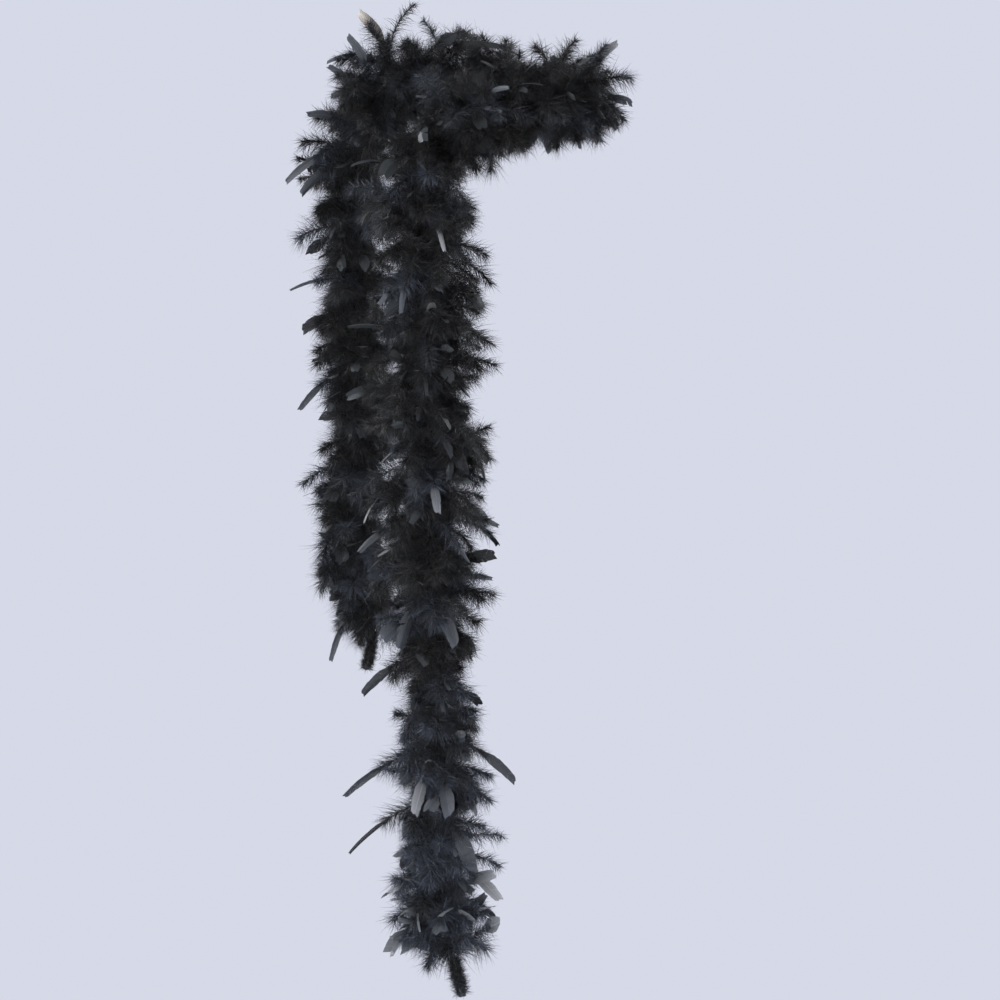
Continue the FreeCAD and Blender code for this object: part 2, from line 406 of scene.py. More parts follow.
# ---------------------------------------------------------------- meshes
def mesh_object(name, verts, quads, info=None, strand=None, bake=None):
    """A mesh of quads. info is a colour for each vertex, strand and bake are UV maps by corner."""
    mesh = bpy.data.meshes.new(name)
    mesh.vertices.add(len(verts))
    mesh.vertices.foreach_set("co", (verts * MM).astype(np.float32).ravel())
    mesh.loops.add(quads.size)
    mesh.loops.foreach_set("vertex_index", quads.astype(np.int32).ravel())
    mesh.polygons.add(len(quads))
    mesh.polygons.foreach_set("loop_start", np.arange(0, quads.size, 4, dtype=np.int32))
    mesh.polygons.foreach_set("use_smooth", np.ones(len(quads), bool))
    mesh.update(calc_edges=True)
    if strand is not None:
        mesh.uv_layers.new(name="strand").data.foreach_set("uv", strand.astype(np.float32).ravel())
    if bake is not None:
        mesh.uv_layers.new(name="OFBake").data.foreach_set("uv", bake.astype(np.float32).ravel())
    if info is not None:
        layer = mesh.attributes.new("feather", "FLOAT_COLOR", "POINT")
        layer.data.foreach_set("color", info.astype(np.float32).ravel())
    made = bpy.data.objects.new(name, mesh)
    bpy.context.scene.collection.objects.link(made)
    return made


def cells(count, local):
    """UVs that give each of count patches its own cell of a square sheet. local is (count, n, 2)."""
    n = math.ceil(math.sqrt(count))
    index = np.arange(count)
    corner = np.stack([index % n, index // n], axis=-1)[:, None, :]
    return (corner + CELL_MARGIN + (1 - 2 * CELL_MARGIN) * local) / n


def tube(points, radii, sides_count):
    """Vertices, quads and strand UVs of a tube along points, whose ends close on a point."""
    directions = unit(np.gradient(points, axis=0))
    sides = parallel_sides(directions, np.array([1.0, 0.3, 0.2]))
    others = np.cross(directions, sides)
    angle = np.linspace(0, 2 * math.pi, sides_count, endpoint=False)
    radii = np.broadcast_to(np.asarray(radii, float), (len(points),))
    across, up = np.cos(angle)[None, :, None], np.sin(angle)[None, :, None]
    wall = points[:, None] + (across * sides[:, None] + up * others[:, None]) * radii[:, None, None]
    first_tip = np.repeat(points[:1, None], sides_count, 1)
    last_tip = np.repeat(points[-1:, None], sides_count, 1)
    verts = np.concatenate([first_tip, wall, last_tip])
    rows = len(verts)
    i, j = np.meshgrid(np.arange(rows - 1), np.arange(sides_count), indexing="ij")
    k = (j + 1) % sides_count
    quads = np.stack([i * sides_count + j, i * sides_count + k,
                      (i + 1) * sides_count + k, (i + 1) * sides_count + j], axis=-1).reshape(-1, 4)
    length = np.concatenate([[0, 0], np.cumsum(np.linalg.norm(np.diff(points, axis=0), axis=1))])
    length = np.append(length, length[-1])
    u = np.stack([length[i], length[i], length[i + 1], length[i + 1]], -1)
    v = np.stack([j, j + 1, j + 1, j], -1) / sides_count
    strand = np.stack([u, v], -1).reshape(-1, 2)
    return verts.reshape(-1, 3), quads, strand


def joined(parts):
    """Several (verts, quads, strand) as one."""
    verts, quads, strands, offset = [], [], [], 0
    for v, q, s in parts:
        verts.append(v)
        quads.append(q + offset)
        strands.append(s)
        offset += len(v)
    return np.concatenate(verts), np.concatenate(quads), np.concatenate(strands)


# ---------------------------------------------------------------- feathers
class Feathers:
    """Feathers whose quills bend in an arc, from the way they leave the cord to the way they fall."""

    def __init__(self, **values):
        self.__dict__.update(values)
        self.fall = unit(self.fall - self.out * (self.fall * self.out).sum(-1, keepdims=True))

    def __len__(self):
        return len(self.length)

    def plus(self, other):
        """These feathers and others together."""
        both = {key: np.concatenate([value, getattr(other, key)]) for key, value in vars(self).items()}
        return Feathers(**both)

    def at(self, f, t):
        """Point, direction, across and normal at shares t of the quills f."""
        angle = (self.turn[f] * t)[:, None]
        out, fall = self.out[f], self.fall[f]
        radius = (self.length[f] / self.turn[f])[:, None]
        point = self.root[f] + radius * (out * np.sin(angle) + fall * (1 - np.cos(angle)))
        direction = out * np.cos(angle) + fall * np.sin(angle)
        flat = np.cross(out, fall)
        twist = self.twist[f][:, None]
        across = flat * np.cos(twist) + np.cross(flat, direction) * np.sin(twist)
        return point, direction, across, np.cross(across, direction)


def drawn(rng, chosen, when_chosen, otherwise):
    """A number for each feather, from one range for the chosen ones and another for the rest."""
    n = len(chosen)
    return np.where(chosen, rng.uniform(*when_chosen, n), rng.uniform(*otherwise, n))


def tuft_swell(stations, angle):
    """-1 to 1, high where feathers stand in a tuft: two waves along the cord that wander round it."""
    coarse = np.sin(stations / 15 + 2.1 * np.sin(angle))
    fine = np.sin(stations / 7.7 + 1.7 * np.cos(angle))
    return 0.55 * coarse + 0.45 * fine


def lit_low_end(points):
    """0 on the upper part of the boa, 1 at its lowest end, for the painted light on that end and its
    more and wider vanes.
    """
    return np.clip((LIT_PALER_FROM - points[:, 2]) / LIT_PALER_OVER, 0, 1)


def clear_of_neck(point, out, reach):
    """Reaches of feathers that leave the collar at point along out, cut short of the neck."""
    toward = -(unit(point[:, :2]) * out[:, :2]).sum(-1)
    room = np.linalg.norm(point[:, :2], axis=1) - NECK_HALF_Y
    blocked = (point[:, 2] > NECK_LOW) & (toward * reach > room)
    return np.where(blocked, np.maximum(room / np.maximum(toward, 0.1), SHORTEST), reach)


def feather_stations(low, high):
    """Where feathers leave the cord between two distances along it."""
    fine = np.arange(low, high, 0.1)
    grown = np.cumsum(np.interp(fine, PATH_STATIONS, PATH[:, 3]) / PITCH_REACH / FEATHER_PITCH * 0.1)
    return np.interp(np.arange(1, math.floor(grown[-1])), grown, fine)


def grow(stations, rng):
    """One feather for each station, wound round the cord like leaves on a stem."""
    point, direction, side, other = cord_frame(stations)
    n = len(stations)
    angle = np.arange(n) * FEATHER_TURN + rng.normal(0, TURN_SPREAD, n)
    angle = angle + CLUMPING * np.sin(3 * angle + stations / 11)
    radial = side * np.cos(angle)[:, None] + other * np.sin(angle)[:, None]
    near_rear = np.exp(-(stations - BARE_REAR) / END_FADE)
    near_front = np.exp(-(BARE_FRONT - stations) / END_FADE)
    lean = rng.normal(0, LEAN_SPREAD, n) + LEAN_AT_ENDS * (near_rear - near_front)
    lean = lean.clip(-LEAN_LIMIT, LEAN_LIMIT)
    out = unit(radial * np.cos(lean)[:, None] + direction * np.sin(lean)[:, None])
    tuft = tuft_swell(stations, angle)
    low = lit_low_end(point)
    vaned = rng.uniform(0, 1, n) < VANED_SHARE + VANED_SHARE_LOW * low
    stray = rng.uniform(0, 1, n) < STRAY_SHARE
    turn = drawn(rng, vaned, VANED_TURN, DOWNY_TURN)
    reach = np.interp(stations, PATH_STATIONS, PATH[:, 3]) * (1 + TUFT_SWELL * tuft)
    reach = reach * (1 + LIFT * np.maximum(out[:, 2], LIFT_LOWEST)) - REACH_OF_BARBS
    reach *= drawn(rng, vaned, VANED_REACH, DOWNY_REACH)
    reach *= np.where(stray, STRAY_REACH, 1)
    reach = clear_of_neck(point, out, reach)
    wander = unit(rng.normal(0, 1, (n, 3)))
    weight = (1 - near_rear - near_front)[:, None]
    fall = np.array([0, 0, -1]) * weight + wander * WANDER
    twist = rng.normal(0, TWIST_SPREAD, n)
    tone = TONE_SPREAD * rng.uniform(0, 1, n) ** TONE_POWER + TONE_DARKEST
    # painted light: paler on the tufts that swell out and towards the lower end, painted shade between
    # the tufts
    tone = tone + TONE_TUFT_LIGHT * tuft + TONE_LIT_LOW * low
    return Feathers(
        root=point + radial * ROOT_RADIUS,
        out=out,
        fall=fall,
        turn=turn,
        length=reach * np.sqrt(turn / np.sin(np.minimum(turn, math.pi / 2))),
        twist=twist,
        tone=tone.clip(0, TONE_LIMIT + TONE_LIMIT_LIT_LOW * low),
        down_end=drawn(rng, vaned, VANED_DOWN_END, DOWNY_DOWN_END),
        half_width=np.where(vaned, rng.uniform(*VANE_HALF_WIDTH, n) * (1 + VANE_WIDER_LOW * low), 0),
        vane_start=rng.uniform(*VANE_START, n),
        slant=rng.normal(0, SLANT_SPREAD, n),
    )


def placed_feathers(low, high):
    """The single feathers whose roots lie between two distances along the cord."""
    chosen = [row for row in PLACED if low <= station_of(row[0]) < high]
    n = len(chosen)
    tip = np.array([row[1] for row in chosen], float).reshape(n, 3)
    root = along(LINE, [station_of(row[0]) for row in chosen])
    chord = tip - root
    span = np.linalg.norm(chord, axis=1)
    ahead = unit(chord)
    lift = unit(PLACED_LIFT - ahead * (ahead * PLACED_LIFT).sum(-1, keepdims=True))
    half_turn = PLACED_TURN / 2
    # turned so that the flat of the vane faces the front
    flat = np.cross(lift, ahead)
    wanted = unit(np.cross(ahead, [0, 1, 0]))
    twist = np.arctan2((wanted * np.cross(flat, ahead)).sum(-1), (wanted * flat).sum(-1))
    return Feathers(
        root=root,
        out=ahead * math.cos(half_turn) + lift * math.sin(half_turn),
        fall=ahead * math.sin(half_turn) - lift * math.cos(half_turn),
        turn=np.full(n, PLACED_TURN),
        length=span * half_turn / math.sin(half_turn),
        twist=twist + PLACED_ROLL,
        tone=np.array([row[3] for row in chosen], float),
        down_end=np.full(n, PLACED_DOWN_END),
        half_width=np.array([row[2] for row in chosen], float),
        vane_start=np.full(n, PLACED_VANE_START),
        slant=np.resize(PLACED_SLANTS, n),
    )


def ribbons(start, out, curl, length, width, tone, rng):
    """Soft tapering ribbons that leave their starts along out and curl away."""
    n = len(start)
    rows = BARB_QUADS + 1
    u = np.linspace(0, 1, rows)
    path = out[:, None] * u[None, :, None] + curl[:, None] * (u**2 / 2)[None, :, None]
    line = start[:, None] + length[:, None, None] * path
    face = unit(np.cross(out, rng.normal(0, 1, (n, 3))))
    half = width[:, None] / 2 * BARB_TAPER
    offset = face[:, None] * half[..., None]
    verts = np.stack([line - offset, line + offset], axis=2).reshape(-1, 3)
    base = np.arange(n)[:, None] * rows * 2
    k = np.arange(BARB_QUADS)[None, :] * 2
    quads = np.stack([base + k, base + k + 1, base + k + 3, base + k + 2], axis=-1).reshape(-1, 4)
    info = np.ones((n, rows, 2, 4))
    info[..., 0] = tone[:, None, None]
    info[..., 1] = u[None, :, None]
    info[..., 2] = rng.uniform(0, 1, n)[:, None, None]
    step = 1 / BARB_QUADS
    ladder = np.array([[(0, i), (1, i), (1, i + 1), (0, i + 1)] for i in range(BARB_QUADS)]) * [1, step]
    local = np.broadcast_to(ladder.reshape(1, -1, 2), (n, 4 * BARB_QUADS, 2))
    return verts, quads, info.reshape(-1, 4), local.reshape(-1, 2), cells(n, local).reshape(-1, 2)


def plume_ribbons(feathers, rng):
    """Downy barbs: soft curling ribbons on both sides of every quill."""
    n = len(feathers)
    f = np.repeat(np.arange(n), BARBS)
    share = np.tile((np.arange(BARBS) + 0.5) / BARBS, n) + rng.uniform(-0.5, 0.5, n * BARBS) / BARBS
    share = np.clip(share, 0, 1) ** BARB_CROWDING
    at = (BARBS_FROM + (1 - BARBS_FROM) * share) * feathers.down_end[f]
    point, direction, across, normal = feathers.at(f, at)
    sign = np.where(np.arange(n * BARBS) % 2, 1.0, -1.0)
    root_angle, tip_angle, spread = BARB_ANGLE
    opening = root_angle - (root_angle - tip_angle) * share + rng.normal(0, spread, len(share))
    opening = np.radians(opening)
    out = unit(
        direction * np.cos(opening)[:, None]
        + across * (sign * np.sin(opening))[:, None]
        + normal * rng.normal(0, BARB_DEPTH, len(share))[:, None]
    )
    bow = np.sin(math.pi * np.clip(share * (1 - BARBS_FROM) + BARBS_FROM, 0, 1))
    profile = BARB_LENGTH_AT_ROOT + (1 - BARB_LENGTH_AT_ROOT) * bow
    length = rng.uniform(*BARB_LENGTH, n)[f] * profile * rng.uniform(*BARB_LENGTH_SPREAD, len(share))
    curl = unit(rng.normal(0, 1, (len(share), 3))) * BARB_CURL + direction * BARB_FOLLOW + BARB_SAG
    width = rng.uniform(*BARB_WIDTH, len(share))
    return ribbons(point, out, curl, length, width, feathers.tone[f], rng)


def fuzz_ribbons(low, high, per_mm, start, length, rng):
    """Short down that stands out of the cord on every side, from a radius of start."""
    n = int((high - low) * per_mm)
    stations = rng.uniform(low, high, n)
    point, direction, side, other = cord_frame(stations)
    angle = rng.uniform(0, 2 * math.pi, n)
    radial = side * np.cos(angle)[:, None] + other * np.sin(angle)[:, None]
    out = unit(radial + direction * rng.normal(0, FUZZ_SLANT, n)[:, None])
    curl = unit(rng.normal(0, 1, (n, 3))) * BARB_CURL
    # painted light: the fuzz is painted paler towards the lower end
    tone = FUZZ_TONE + FUZZ_TONE_WAVE * np.sin(stations / 13) + FUZZ_TONE_LIT_LOW * lit_low_end(point)
    lengths = length * rng.uniform(*FUZZ_LENGTH_SPREAD, n)
    widths = rng.uniform(*FUZZ_WIDTH, n)
    return ribbons(point + radial * start, out, curl, lengths, widths, tone, rng)


def vane_uvs(n):
    """Strand and bake UVs of n vanes: along every barb strip, and a cell for each side of a vane."""
    low = np.arange(VANE_STRIPS) / VANE_STRIPS
    high = low + 1 / VANE_STRIPS
    inner = [(low, 0), (low, 0.5), (high, 0.5), (high, 0)]
    outer = [(low, 0.5), (low, 1), (high, 1), (high, 0.5)]
    corners = inner + outer
    strip = np.zeros((VANE_STRIPS, 2, len(corners), 2))
    for corner, (u, v) in enumerate(corners):
        strip[:, :, corner, 0] = u[:, None]
        strip[:, :, corner, 1] = v
    strand = np.broadcast_to(strip[None], (n, *strip.shape))
    by_side = strand.transpose(0, 2, 1, 3, 4).reshape(n * 2, -1, 2)
    bake = cells(n * 2, by_side).reshape(n, 2, VANE_STRIPS, -1, 2).transpose(0, 2, 1, 3, 4)
    return strand.reshape(-1, 2), bake.reshape(-1, 2)


def vane_mesh(feathers, rng):
    """Flat vanes at the feathers' ends, built from barb strips that lie side by side."""
    f = np.flatnonzero(feathers.half_width > 0)
    n = len(f)
    shape = (n, VANE_STRIPS, 2, 2)
    s = (np.arange(VANE_STRIPS) / VANE_STRIPS)[None, :, None, None]
    edge = np.array([0, 1])[None, None, None, :] / VANE_STRIPS
    share = np.broadcast_to(s + edge, shape).ravel()
    sign = np.broadcast_to(np.array([-1.0, 1.0])[None, None, :, None], shape).ravel()
    which = np.broadcast_to(f[:, None, None, None], shape).ravel()
    start = feathers.vane_start[which]
    point, direction, across, normal = feathers.at(which, start + (1 - start) * share)
    uneven, slip = (np.repeat(rng.normal(0, 1, n * VANE_STRIPS * 2), 2) for _ in range(2))
    narrowing = VANE_NARROWING * np.clip(share - VANE_NARROWS_FROM, 0, 1) / VANE_NARROWS_OVER
    profile = np.clip(VANE_ROOT_WIDTH + VANE_WIDENING * share, 0, 1) * (1 - narrowing)
    width = feathers.half_width[which] * profile * (1 + BARB_UNEVEN * uneven)
    opening = BARB_OPENING + np.where(np.abs(slip) > SPLIT_FROM, SPLIT_SLIP, BARB_SLIP) * slip
    barb = direction * np.cos(opening)[:, None] + across * (sign * np.sin(opening))[:, None]
    # a blunt tip: no barb runs past the slanting plane that cuts the feather's end
    tip, tip_direction, tip_across, _ = feathers.at(which, np.ones(len(which)))
    slant = feathers.slant[which][:, None]
    cut = tip_direction * np.cos(slant) + tip_across * np.sin(slant)
    room = ((tip + tip_direction * TIP_ROOM - point) * cut).sum(-1)
    ahead = (barb * cut).sum(-1)
    room_width = np.maximum(room, SHORTEST_BARB) / np.maximum(ahead, 0.05)
    width = np.where(ahead > 0.05, np.minimum(width, room_width), width)
    cup = np.repeat(rng.uniform(*VANE_CUP, n), VANE_STRIPS * 4)
    rows = [
        point + barb * (width * v)[:, None] + normal * (cup * v**2 * width / 2)[:, None]
        for v in VANE_ROWS
    ]
    verts = np.stack(rows, axis=1).reshape(-1, 3)
    base = (np.arange(n * VANE_STRIPS * 2) * 6)[:, None]
    quads = np.concatenate([base + np.array([[0, 1, 4, 3]]), base + np.array([[1, 2, 5, 4]])], axis=1)
    quads = quads.reshape(-1, 4)
    info = np.ones((n, VANE_STRIPS, 2, 2, 3, 4))
    info[..., 0] = feathers.tone[f][:, None, None, None, None]
    info[..., 1] = share.reshape(shape)[..., None]
    info[..., 2] = VANE_ROWS
    return verts, quads, info.reshape(-1, 4), *vane_uvs(n)


def quill_mesh(feathers):
    """Thin quills that run the whole length of every feather."""
    n = len(feathers)
    t = np.linspace(0, 1, QUILL_RINGS)
    f = np.repeat(np.arange(n), QUILL_RINGS)
    point, _, across, normal = feathers.at(f, np.tile(t, n))
    radius = np.tile(QUILL_ROOT_RADIUS + (QUILL_TIP_RADIUS - QUILL_ROOT_RADIUS) * t, n)[:, None]
    turns = [side * 2 * math.pi / QUILL_SIDES for side in range(QUILL_SIDES)]
    verts = [point + (across * math.cos(a) + normal * math.sin(a)) * radius for a in turns]
    verts = np.stack(verts, axis=1).reshape(-1, 3)
    ring_below = np.arange(n)[:, None] * QUILL_RINGS + np.arange(QUILL_RINGS - 1)[None, :]
    base = ring_below.reshape(-1, 1) * QUILL_SIDES
    quads = []
    for side in range(QUILL_SIDES):
        after = (side + 1) % QUILL_SIDES
        quads.append(base + np.array([[side, after, QUILL_SIDES + after, QUILL_SIDES + side]]))
    quads = np.stack(quads, axis=1).reshape(-1, 4)
    info = np.ones((n, QUILL_RINGS, QUILL_SIDES, 4))
    info[..., 0] = feathers.tone[:, None, None]
    info[..., 1] = t[None, :, None]
    info[..., 2] = 0
    local = np.tile(np.array([(0, 0), (1, 0), (1, 1), (0, 1)], float), (len(quads), 1, 1))
    bake = cells(len(quads), local)
    return verts, quads, info.reshape(-1, 4), local.reshape(-1, 2), bake.reshape(-1, 2)


def laid_in_place(verts):
    """Pushes feathers out of the oval that the neck fills, and back inside the looks' box."""
    inside = np.hypot(verts[:, 0] / NECK_HALF_X, verts[:, 1] / NECK_HALF_Y)
    near_neck = np.clip((verts[:, 2] - NECK_LOW + NECK_FADE) / NECK_FADE, 0, 1)
    push = 1 + near_neck * (1 / np.clip(inside, NECK_DEEPEST, 1) - 1)
    out = verts.copy()
    out[:, :2] *= push[:, None]
    low, high = (np.array(corner) / MM for corner in CAD_BOX)
    spare = BOX_SHARE * (high - low) + BOX_EXTRA - MARGIN
    for side, edge in ((1, high + spare), (-1, low - spare)):
        over = (out - edge) * side + SQUEEZE
        pressed = edge + side * SQUEEZE * (np.tanh(over / SQUEEZE) - 1)
        out = np.where(over > 0, pressed, out)
    return out


# ---------------------------------------------------------------- materials
def material(name):
    """A new material, with its nodes, links and shader."""
    mat = bpy.data.materials.new(name)
    mat.use_nodes = True
    nodes = mat.node_tree.nodes
    return mat, nodes, mat.node_tree.links, nodes["Principled BSDF"]


def feather_values(nodes, links):
    """The feather attribute's numbers: tone, share of the length, and a third that each mesh fills."""
    read = nodes.new("ShaderNodeAttribute")
    read.attribute_name = "feather"
    split = nodes.new("ShaderNodeSeparateColor")
    links.new(read.outputs["Color"], split.inputs[0])
    return split.outputs


def strand_uv(nodes):
    """The UVs that run along each strand, quill or barb strip."""
    uv = nodes.new("ShaderNodeUVMap")
    uv.uv_map = "strand"
    return uv.outputs[0]


def grey(value):
    return (value, value, value)


def ramp(nodes, links, source, stops):
    """Colours looked up by a number: stops are (position, colour)."""
    made = nodes.new("ShaderNodeValToRGB")
    elements = made.color_ramp.elements
    while len(elements) < len(stops):
        elements.new(0.5)
    for element, (at, colour) in zip(elements, stops):
        element.position = at
        element.color = (*colour, 1)
    links.new(source, made.inputs[0])
    return made.outputs[0]


def mix(nodes, links, kind, factor, a, b):
    """Two colours blended in one of the ways that the mix node knows."""
    made = nodes.new("ShaderNodeMix")
    made.data_type = "RGBA"
    made.blend_type = kind
    for socket, value in ((made.inputs[0], factor), (made.inputs[6], a), (made.inputs[7], b)):
        if hasattr(value, "links"):
            links.new(value, socket)
        else:
            socket.default_value = value
    return made.outputs[2]


def multiply(nodes, links, a, b):
    return mix(nodes, links, "MULTIPLY", 1.0, a, b)


def bump(nodes, links, height, strength, distance, shader):
    """Fine relief on a shader."""
    made = nodes.new("ShaderNodeBump")
    made.inputs["Strength"].default_value = strength
    made.inputs["Distance"].default_value = distance
    links.new(height, made.inputs["Height"])
    links.new(made.outputs[0], shader.inputs["Normal"])


def barb_lines(nodes, links, scale, distortion):
    """The fine barbs of a vane, side by side along its quill."""
    barbs = nodes.new("ShaderNodeTexWave")
    barbs.inputs["Scale"].default_value = scale
    barbs.inputs["Distortion"].default_value = distortion
    links.new(strand_uv(nodes), barbs.inputs["Vector"])
    return barbs.outputs["Fac"]


def down_material():
    """Soft down: the feather's own tone, with painted shade that darkens each barb towards its root,
    deep in the down, and painted glints on single barbs.
    """
    mat, nodes, links, shader = material("down")
    tone_value, length_share, barb_random = feather_values(nodes, links)
    tone = ramp(nodes, links, tone_value, [
        (0, (0.0036, 0.0034, 0.0038)),
        (0.25, (0.0062, 0.0062, 0.0078)),
        (0.45, (0.0125, 0.0112, 0.0112)),
        (0.6, (0.019, 0.0195, 0.024)),
        (0.8, (0.031, 0.037, 0.054)),
        (1, (0.062, 0.072, 0.102)),
    ])
    # painted shade: each barb is painted darkest at its root, inside the down, and paler towards its
    # tip
    tip = ramp(nodes, links, length_share, [(0, grey(0.22)), (1, grey(1.0))])
    # painted highlight: most barbs are dull and a few are painted up to three times paler, as glints
    painted_glint = ramp(nodes, links, barb_random, [(0, grey(0.55)), (0.8, grey(0.9)), (0.97, grey(3.0))])
    colour = multiply(nodes, links, multiply(nodes, links, tone, tip), painted_glint)
    links.new(colour, shader.inputs["Base Color"])
    noise = nodes.new("ShaderNodeTexNoise")
    noise.inputs["Scale"].default_value = 900
    rough = ramp(nodes, links, noise.outputs[0], [(0, grey(0.38)), (1, grey(0.62))])
    links.new(rough, shader.inputs["Roughness"])
    bump(nodes, links, noise.outputs[0], 0.25, 0.0002, shader)
    shader.inputs["Sheen Weight"].default_value = 0.08
    shader.inputs["Sheen Roughness"].default_value = 0.5
    shader.inputs["Specular IOR Level"].default_value = 0.5
    return mat


def vane_material():
    """Smooth vanes: fine barb lines, painted shade that darkens them towards the root, and a faint
    painted blue-green sheen at glancing angles.
    """
    mat, nodes, links, shader = material("vane")
    tone_value, length_share, across_share = feather_values(nodes, links)
    # the palest tones, near 1, are partly painted light: backlit and glinting vanes
    tone = ramp(nodes, links, tone_value, [
        (0, (0.005, 0.0055, 0.007)),
        (0.5, (0.011, 0.012, 0.016)),
        (0.8, (0.028, 0.031, 0.041)),
        (0.93, (0.065, 0.069, 0.085)),
        (1, (0.20, 0.20, 0.215)),
    ])
    edge = ramp(nodes, links, across_share, [(0, grey(1.35)), (0.15, grey(0.9)), (1, grey(1.25))])
    # painted shade: vanes darker towards their root, where the down covers them
    painted_root_shade = ramp(nodes, links, length_share, [(0, grey(0.3)), (0.6, grey(0.85)), (1, grey(1.2))])
    barbs = barb_lines(nodes, links, 22, 1.2)
    lines = ramp(nodes, links, barbs, [(0, grey(0.55)), (1, grey(1.3))])
    colour = multiply(nodes, links, multiply(nodes, links, tone, edge), painted_root_shade)
    colour = multiply(nodes, links, colour, lines)
    # painted sheen: a faint blue-green added to the colour at glancing angles
    glance = nodes.new("ShaderNodeLayerWeight")
    glance.inputs[0].default_value = 0.35
    painted_shimmer = ramp(nodes, links, glance.outputs["Facing"], [
        (0, (0, 0, 0)),
        (0.5, (0.002, 0.006, 0.007)),
        (1, (0.004, 0.014, 0.016)),
    ])
    colour = mix(nodes, links, "ADD", 1.0, colour, painted_shimmer)
    links.new(colour, shader.inputs["Base Color"])
    links.new(ramp(nodes, links, barbs, [(0, grey(0.5)), (1, grey(0.36))]), shader.inputs["Roughness"])
    bump(nodes, links, barbs, 0.5, 0.0003, shader)
    shader.inputs["Sheen Weight"].default_value = 0.15
    shader.inputs["Specular IOR Level"].default_value = 0.5
    return mat


def strand_material(name, dark, light, scale, roughness, sheen):
    """Twisted fibre: fine lines round the strand, with patchy colour."""
    mat, nodes, links, shader = material(name)
    stretch = nodes.new("ShaderNodeMapping")
    stretch.inputs["Scale"].default_value = (0.15, 14, 1)
    stretch.inputs["Rotation"].default_value = (0, 0, 0.25)
    links.new(strand_uv(nodes), stretch.inputs[0])
    fibre = nodes.new("ShaderNodeTexNoise")
    fibre.inputs["Scale"].default_value = scale
    fibre.inputs["Detail"].default_value = 4
    links.new(stretch.outputs[0], fibre.inputs["Vector"])
    colour = ramp(nodes, links, fibre.outputs[0], [(0.3, dark), (0.75, light)])
    links.new(colour, shader.inputs["Base Color"])
    stops = [(0, grey(roughness + 0.15)), (1, grey(roughness - 0.1))]
    rough = ramp(nodes, links, fibre.outputs[0], stops)
    links.new(rough, shader.inputs["Roughness"])
    bump(nodes, links, fibre.outputs[0], 0.7, 0.0004, shader)
    shader.inputs["Sheen Weight"].default_value = sheen
    return mat


def tan_material():
    """The one feather that is dark at its root and turns to tan at its tip."""
    mat, nodes, links, shader = material("tan_vane")
    _, length_share, _ = feather_values(nodes, links)
    colour = ramp(nodes, links, length_share, [
        (0, (0.02, 0.018, 0.017)),
        (0.3, (0.09, 0.075, 0.065)),
        (0.7, (0.30, 0.25, 0.215)),
        (1, (0.62, 0.57, 0.52)),
    ])
    barbs = barb_lines(nodes, links, 18, 1.5)
    lines = ramp(nodes, links, barbs, [(0, grey(0.75)), (1, grey(1.1))])
    links.new(multiply(nodes, links, colour, lines), shader.inputs["Base Color"])
    bump(nodes, links, barbs, 0.4, 0.0003, shader)
    shader.inputs["Roughness"].default_value = 0.55
    shader.inputs["Sheen Weight"].default_value = 0.2
    return mat


DOWN = down_material()
VANE = vane_material()
TAN = tan_material()
CORD = strand_material("cord", (0.006, 0.006, 0.007), (0.030, 0.031, 0.036), 1.0, 0.7, 0.25)
THREAD = strand_material("thread", (0.015, 0.015, 0.017), (0.08, 0.08, 0.085), 2.0, 0.45, 0.1)
PALE_THREAD = strand_material("pale_thread", (0.10, 0.10, 0.11), (0.30, 0.30, 0.32), 2.0, 0.45, 0.1)


# ---------------------------------------------------------------- zones
class Zone:
    """A stretch of the boa: its pieces ride on one body, or, at a hinge, stay where they are between
    two bodies.
    """

    def __init__(self, name, start, end, bodies, hinge=None):
        self.name, self.start, self.end, self.bodies, self.hinge = name, start, end, bodies, hinge
        self.body = "collar" if name.startswith("collar") else name
        self.is_end = name.endswith("end")
        self.is_first = name in (self.body, "collar_1")  # its pieces take the place of the body's nodes

    def attach(self, obj, span):
        """Makes a piece ride on the zone's body, or, at a hinge, leaves it where it stands in the
        world. span is not used.
        """
        if self.hinge is None:
            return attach(obj, self.bodies[0])
        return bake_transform(obj)

    def nodes(self, *kinds):
        """The CAD nodes that a piece of this zone replaces."""
        return [f"{self.body}_{kind}" for kind in kinds] if self.is_first else []


def make_zones():
    """The zones in order along the cord, from the joints that the record holds."""
    hinges = []
    for joint in frame["joints"]:
        at = station_of(np.array(joint["pos_m"]) / MM)
        rear = joint["child"].startswith("rear")
        bodies = (joint["child"], joint["parent"]) if rear else (joint["parent"], joint["child"])
        hinges.append((at, joint["child"], bodies))
    hinges.sort()
    collar_low = next(at for at, child, _ in hinges if child == "rear_1") + COLLAR_FROM_HINGE
    collar_high = next(at for at, child, _ in hinges if child == "front_1") - COLLAR_FROM_HINGE
    zones = []
    for number, (at, child, bodies) in enumerate(hinges):
        before = 0 if number == 0 else (hinges[number - 1][0] + at) / 2
        after = CORD_LENGTH if number == len(hinges) - 1 else (hinges[number + 1][0] + at) / 2
        if child == "rear_1":
            after = collar_low
        if child == "front_1":
            before = collar_high
        zones.append(Zone(child, before, after, bodies, at))
    parts = np.linspace(collar_low, collar_high, COLLAR_ZONES + 1)
    for number, (low, high) in enumerate(zip(parts, parts[1:])):
        zones.append(Zone(f"collar_{number + 1}", low, high, ("collar",)))
    return sorted(zones, key=lambda z: z.start)


ZONES = make_zones()
REAR_ZONE = next(z for z in ZONES if z.name == "rear_end")
FRONT_ZONE = next(z for z in ZONES if z.name == "front_end")
BARE_REAR = REAR_ZONE.hinge
BARE_FRONT = FRONT_ZONE.hinge


def rigid(zone, body):
    """The same stretch as a zone, all of it on one body."""
    return Zone(zone.name, zone.start, zone.end, (body,))


